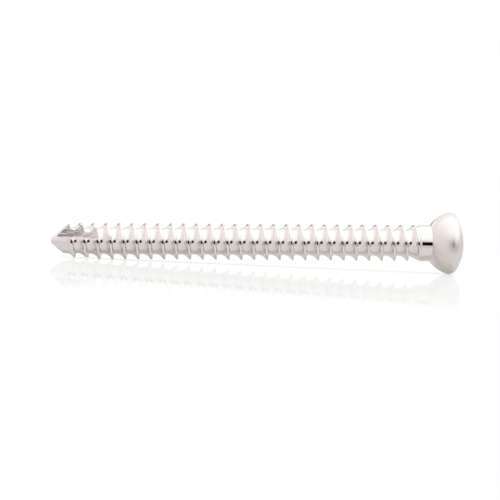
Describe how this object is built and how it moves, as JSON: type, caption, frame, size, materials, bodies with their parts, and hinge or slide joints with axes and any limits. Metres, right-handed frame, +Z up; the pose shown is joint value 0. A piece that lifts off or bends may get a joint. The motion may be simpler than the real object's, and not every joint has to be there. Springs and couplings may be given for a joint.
{
  "type": "cortical bone screw",
  "caption": "Self-tapping cortical bone screw on its side: coned, fluted point, shallow asymmetric right-hand thread, smooth neck and ball-seated head with a hexagon socket.",
  "frame": {"origin": "on the plane that the screw lies on, under the middle of its bounding box", "axes": "+X runs from the point towards the head, in the vertical plane of the screw's axis, and +Z is up; the axis itself climbs about 2 degrees towards the head"},
  "size_m": [0.04, 0.006, 0.006],
  "materials": {
    "polished_steel": "electropolished implant stainless steel, mirror bright on the shank and softer on the head"
  },
  "bodies": {
    "root": {"bone_screw": "polished_steel"}
  },
  "joints": []
}
